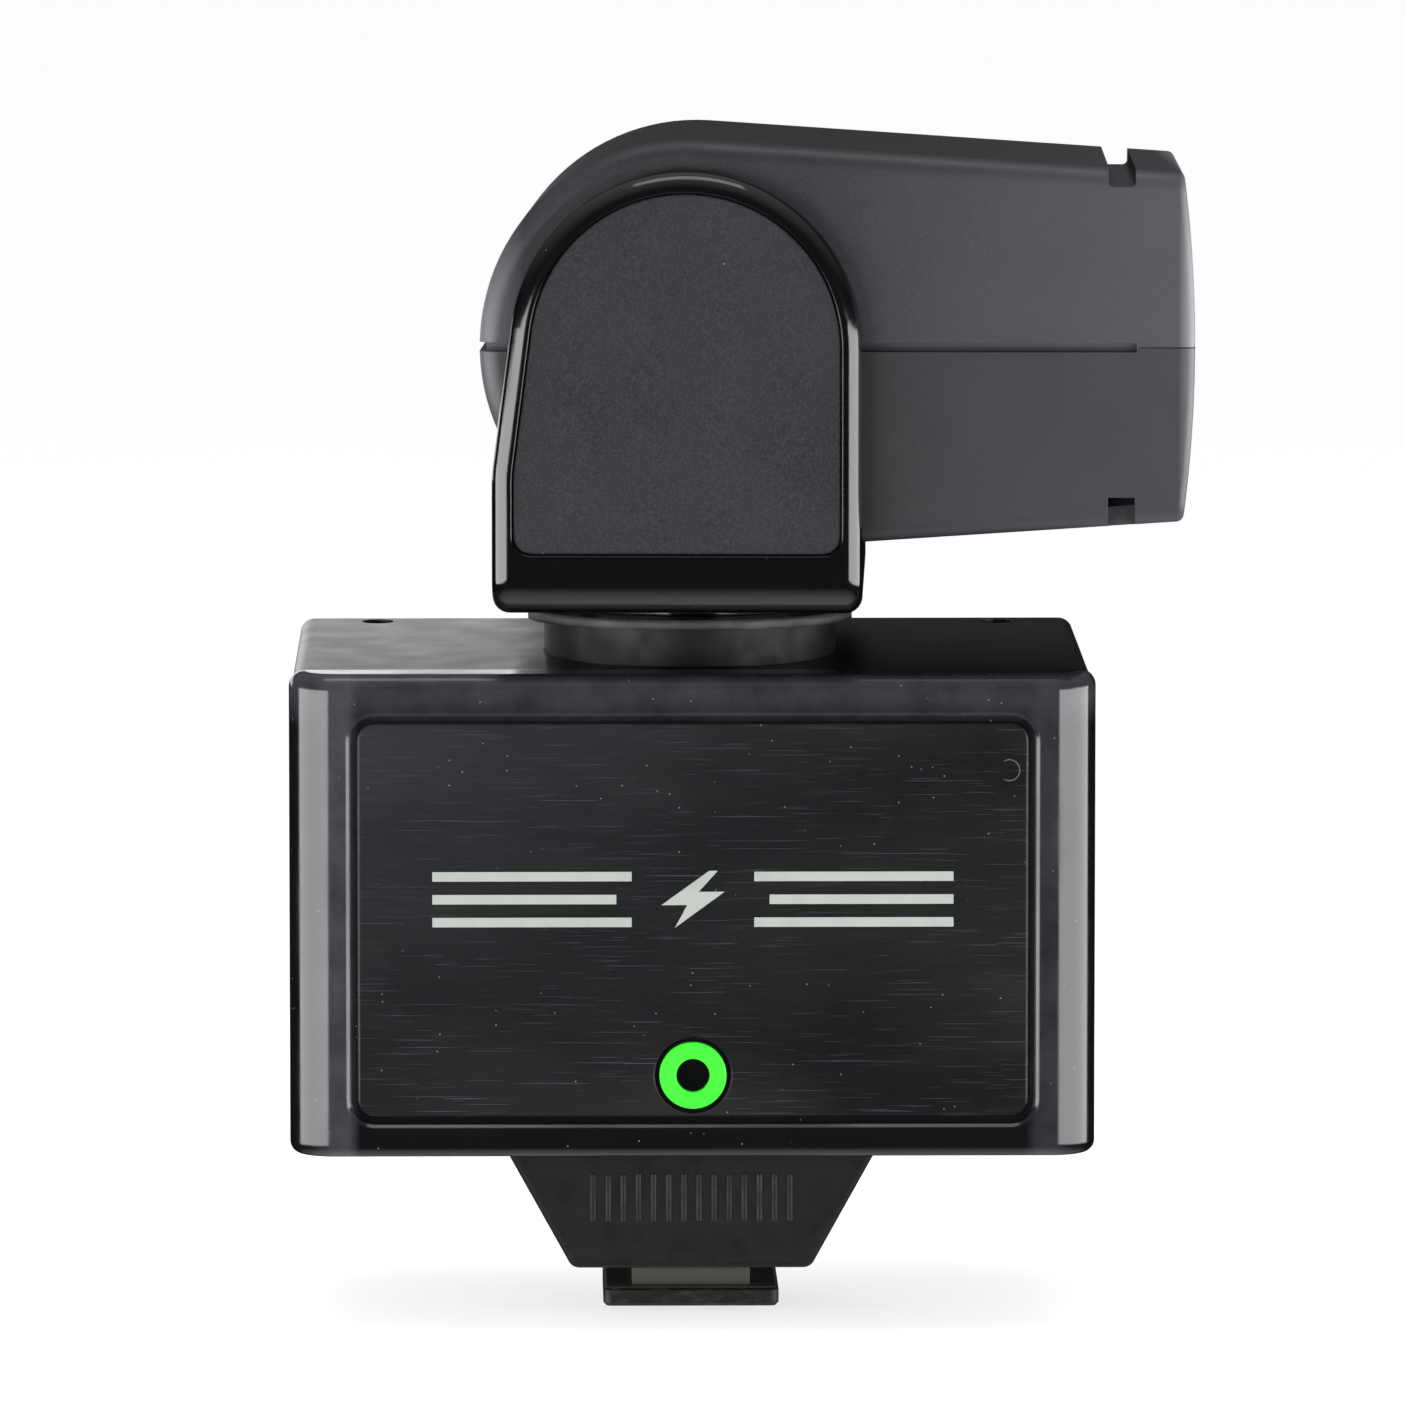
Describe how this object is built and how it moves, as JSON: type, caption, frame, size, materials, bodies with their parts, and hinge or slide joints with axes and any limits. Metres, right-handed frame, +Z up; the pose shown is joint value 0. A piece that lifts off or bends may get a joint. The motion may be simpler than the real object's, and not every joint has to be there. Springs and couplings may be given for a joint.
{
  "type": "camera flash",
  "caption": "Compact shoe-mounted camera flash: box case with battery door, yoke that swivels on the case top and a tapered lamp head that tilts in the yoke.",
  "frame": {"origin": "centre of the foot's flat underside, where it meets the camera's shoe", "axes": "+Z up, -Y the way the case front faces, +X the way the stored head points"},
  "size_m": [0.096, 0.0632, 0.1249],
  "materials": {
    "black_nylon": "matt, slightly worn",
    "shoe_block_plastic": "fine matt moulding",
    "zinc_steel": "zinc plated",
    "spring_steel": "drawn wire and rolled strip",
    "contact_metal": "nickel plated",
    "contact_gold": "gold flashed",
    "gloss_case": "polished moulding",
    "plate_satin": "satin, lightly scratched",
    "green_plastic": "bright moulded ring",
    "sensor_dark": "smoked lens",
    "rear_case_plastic": "semi-gloss moulding",
    "lamp_orange": "tinted lens",
    "inner_plastic": "plain moulding",
    "black_steel": "blackened",
    "cell_jacket": "printed jacket",
    "board_green": "solder-masked glass fibre",
    "capacitor_sleeve": "shrunk sleeve",
    "core_yellow": "taped windings",
    "collar_plastic": "turned smooth",
    "switch_plastic": "ribbed moulding",
    "yoke_gloss": "glossy moulding",
    "head_texture": "fine spark texture",
    "window_clear": "ribbed clear panel",
    "reflector_bright": "bright rolled sheet",
    "tube_glass": "drawn glass tube",
    "sleeve_rubber": "silicone"
  },
  "bodies": {
    "case": {"foot": "black_nylon", "shoe_block": "shoe_block_plastic", "foot_screws": "zinc_steel", "block_screws": "zinc_steel", "lock_spring": "spring_steel", "sync_spring": "spring_steel", "contact_bridge": "contact_metal", "front_cover": "gloss_case", "name_plate": "plate_satin", "sensor_ring": "green_plastic", "sensor_cell": "sensor_dark", "rear_case": "rear_case_plastic", "rear_panel": "plate_satin", "test_spring": "spring_steel", "ready_lamp": "lamp_orange", "inner_frame": "inner_plastic", "case_screws": "black_steel", "battery_tray": "inner_plastic", "battery_cells": "cell_jacket", "inner_contacts": "contact_metal", "door_hinge_pin": "zinc_steel", "circuit_board": "board_green", "main_capacitor": "capacitor_sleeve", "transformer": "core_yellow", "swivel_collar": "collar_plastic", "swivel_nut": "contact_metal"},
    "battery_door": {"battery_door": "rear_case_plastic", "door_contact": "contact_metal"},
    "power_switch": {"power_switch": "switch_plastic"},
    "mode_switch": {"mode_switch": "switch_plastic"},
    "test_button": {"test_button": "switch_plastic"},
    "lock_lever": {"lock_lever": "switch_plastic"},
    "lock_pin": {"lock_pin": "zinc_steel"},
    "sync_pin": {"sync_pin": "contact_gold"},
    "yoke": {"yoke": "yoke_gloss", "side_covers": "head_texture", "swivel_click_plate": "zinc_steel", "swivel_washer": "spring_steel", "swivel_screws": "zinc_steel"},
    "head": {"head_upper": "head_texture", "head_lower": "head_texture", "head_screws": "black_steel", "front_window": "window_clear", "reflector": "reflector_bright", "flash_tube": "tube_glass", "tube_sleeves": "sleeve_rubber", "trigger_board": "board_green", "tilt_axles": "black_nylon", "tilt_washers": "zinc_steel", "tilt_screws": "zinc_steel"}
  },
  "joints": [
    {"name": "head_swivel", "type": "hinge", "parent": "case", "child": "yoke", "pos_m": [0, 0, 0.0737], "axis": [0, 0, 1], "range_deg": [-178, 92]},
    {"name": "head_tilt", "type": "hinge", "parent": "yoke", "child": "head", "pos_m": [0.0002, -0.00001, 0.1029], "axis": [-0.0349, -0.9994, 0], "range_deg": [-7, 90]},
    {"name": "battery_door_hinge", "type": "hinge", "parent": "case", "child": "battery_door", "pos_m": [0.0409, 0.026, 0.0375], "axis": [0, 0, 1], "range_deg": [0, 95]},
    {"name": "power_slide", "type": "slide", "parent": "case", "child": "power_switch", "axis": [1, 0, 0], "range_m": [0, 0.004]},
    {"name": "mode_slide", "type": "slide", "parent": "case", "child": "mode_switch", "axis": [1, 0, 0], "range_m": [0, 0.006]},
    {"name": "test_press", "type": "slide", "parent": "case", "child": "test_button", "axis": [0, -1, 0], "range_m": [0, 0.0012], "stiffness_N_per_m": 300, "springref_m": -0.0008, "deforming": ["test_spring"]},
    {"name": "lock_lever_slide", "type": "slide", "parent": "case", "child": "lock_lever", "axis": [1, 0, 0], "range_m": [0, 0.006]},
    {"name": "lock_pin_drop", "type": "slide", "parent": "case", "child": "lock_pin", "axis": [0, 0, -1], "range_m": [0, 0.0013], "deforming": ["lock_spring"]},
    {"name": "sync_pin_press", "type": "slide", "parent": "case", "child": "sync_pin", "axis": [0, 0, 1], "range_m": [0, 0.0005], "stiffness_N_per_m": 200, "springref_m": -0.001, "deforming": ["sync_spring"]}
  ],
  "couplings": [
    {"joint": "lock_pin_drop", "follows": "lock_lever_slide", "ratio": 0.2}
  ]
}
